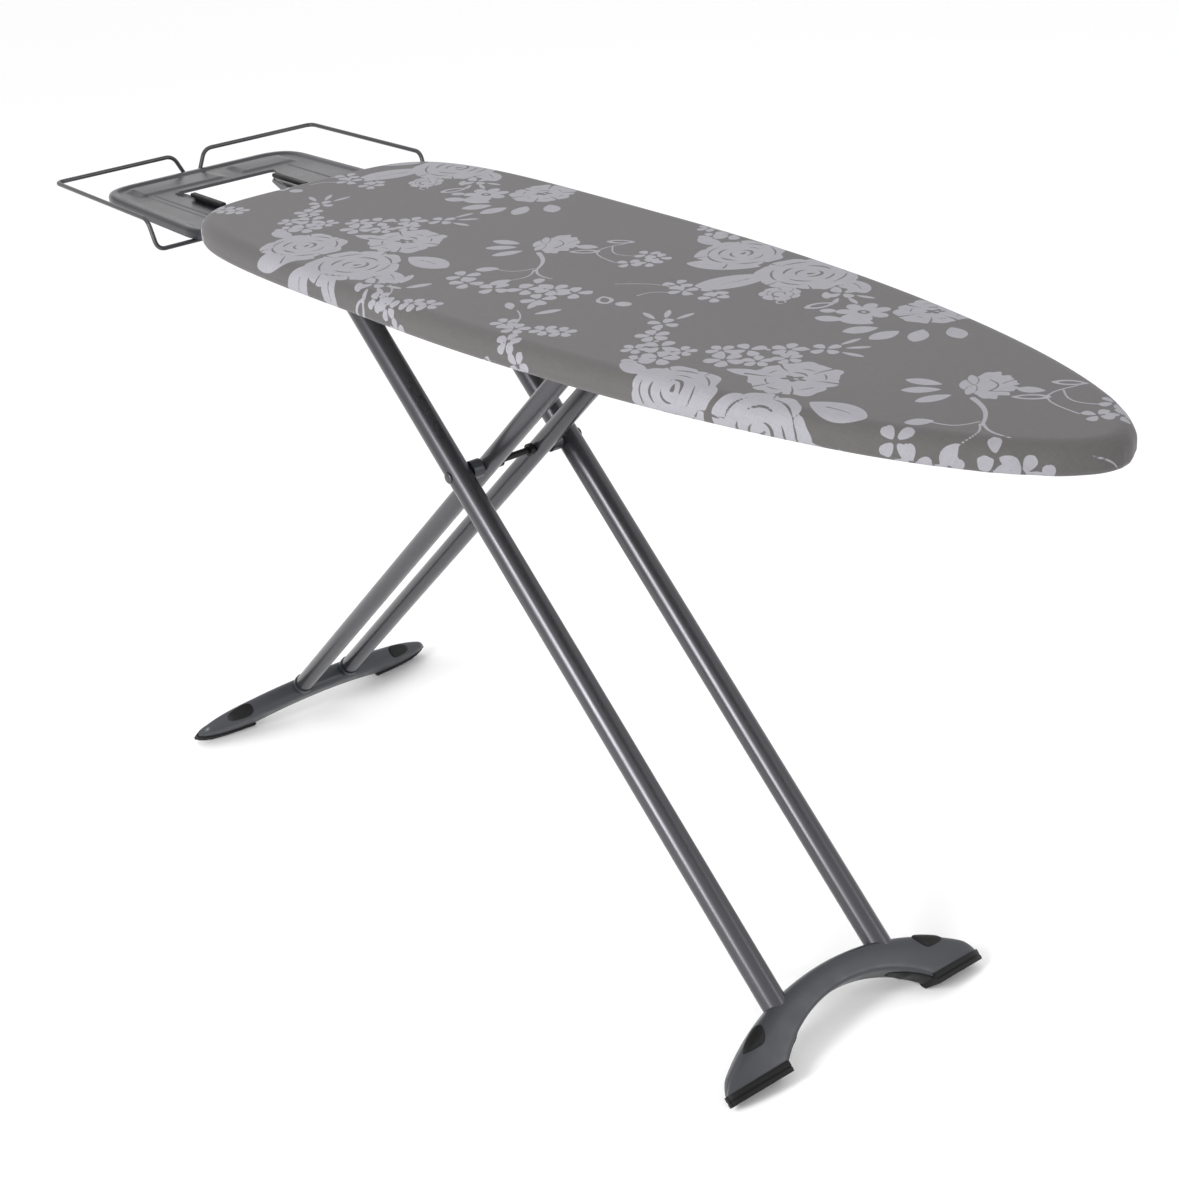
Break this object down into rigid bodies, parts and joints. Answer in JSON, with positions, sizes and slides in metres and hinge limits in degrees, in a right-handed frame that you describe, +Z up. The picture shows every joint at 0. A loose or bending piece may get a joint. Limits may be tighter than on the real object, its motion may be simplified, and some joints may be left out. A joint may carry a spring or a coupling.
{
  "type": "ironing board",
  "caption": "Folding ironing board on crossed tube legs with bow feet, a padded pointed top, a steel iron rest and wire rails at the tail.",
  "frame": {"origin": "centre of the bounding box, on the floor", "axes": "+X towards the pointed nose of the board, +Y towards its left side, +Z up"},
  "size_m": [1.5759, 0.412, 0.785],
  "materials": {
    "cover_fabric": "plain-woven printed cotton, light flowers on taupe grey",
    "felt": "pressed felt",
    "painted_steel": "semi-gloss dark grey powder coat",
    "tray_steel": "satin dark grey metallic paint on pressed sheet",
    "wire": "satin dark grey powder coat",
    "zinc": "zinc-plated",
    "plastic": "moulded black",
    "rubber": "matte black",
    "silicone": "matte black silicone",
    "foot_shell": "satin dark grey moulding"
  },
  "bodies": {
    "board": {"cover": "cover_fabric", "felt_pad": "felt", "top_panel": "painted_steel", "rim_frame_left": "painted_steel", "rim_frame_right": "painted_steel", "brace_tail": "painted_steel", "brace_hinge": "painted_steel", "brace_mid": "painted_steel", "brace_front": "painted_steel", "brace_nose": "painted_steel", "hinge_bracket_left": "zinc", "hinge_bracket_right": "zinc", "hinge_pin": "zinc", "guide_rail_left": "zinc", "guide_rail_right": "zinc", "rail_bridge_rear": "zinc", "rail_bridge_front": "zinc", "lever_bracket": "zinc", "lever_pin": "zinc", "lever_spring": "zinc", "iron_rest_tray": "tray_steel", "tray_pad_left": "silicone", "tray_pad_right": "silicone", "tray_arm_left": "painted_steel", "tray_arm_right": "painted_steel", "tray_screw_left": "zinc", "tray_screw_right": "zinc", "wire_rail_left": "wire", "wire_rail_right": "wire"},
    "wide_leg": {"wide_leg_tube_left": "painted_steel", "wide_leg_tube_right": "painted_steel", "wide_leg_cross_tube": "painted_steel", "centre_axle": "plastic", "axle_spacer_left": "plastic", "axle_spacer_right": "plastic", "axle_cap_left": "painted_steel", "axle_cap_right": "painted_steel", "front_foot": "foot_shell", "front_foot_sole_left": "rubber", "front_foot_sole_right": "rubber", "front_foot_bumper_left": "rubber", "front_foot_bumper_right": "rubber"},
    "narrow_leg": {"narrow_leg_tube_left": "painted_steel", "narrow_leg_tube_right": "painted_steel", "narrow_leg_crossbar": "zinc", "guide_roller_left": "plastic", "guide_roller_right": "plastic", "axle_collar_left": "plastic", "axle_collar_right": "plastic", "foot_collar_left": "plastic", "foot_collar_right": "plastic", "rear_foot": "foot_shell", "rear_foot_sole_left": "rubber", "rear_foot_sole_right": "rubber", "rear_foot_bumper_left": "rubber", "rear_foot_bumper_right": "rubber"},
    "lock_lever": {"lock_bar": "zinc", "lever_rod": "zinc", "lever_grip": "plastic"}
  },
  "joints": [
    {"name": "wide_leg_fold", "type": "hinge", "parent": "board", "child": "wide_leg", "pos_m": [-0.30097, 0, 0.722], "axis": [0, -1, 0], "range_deg": [-15, 37.5]},
    {"name": "narrow_leg_fold", "type": "hinge", "parent": "wide_leg", "child": "narrow_leg", "pos_m": [-0.094, 0, 0.52899], "axis": [0, -1, 0], "range_deg": [-75, 30]},
    {"name": "lock_lever_lift", "type": "hinge", "parent": "board", "child": "lock_lever", "pos_m": [0.317, 0, 0.738], "axis": [0, 1, 0], "range_deg": [0, 2.5], "stiffness_Nm_per_rad": 0.5, "springref_deg": -28.65}
  ],
  "couplings": [
    {"joint": "narrow_leg_fold", "follows": "wide_leg_fold", "ratio": -2}
  ]
}
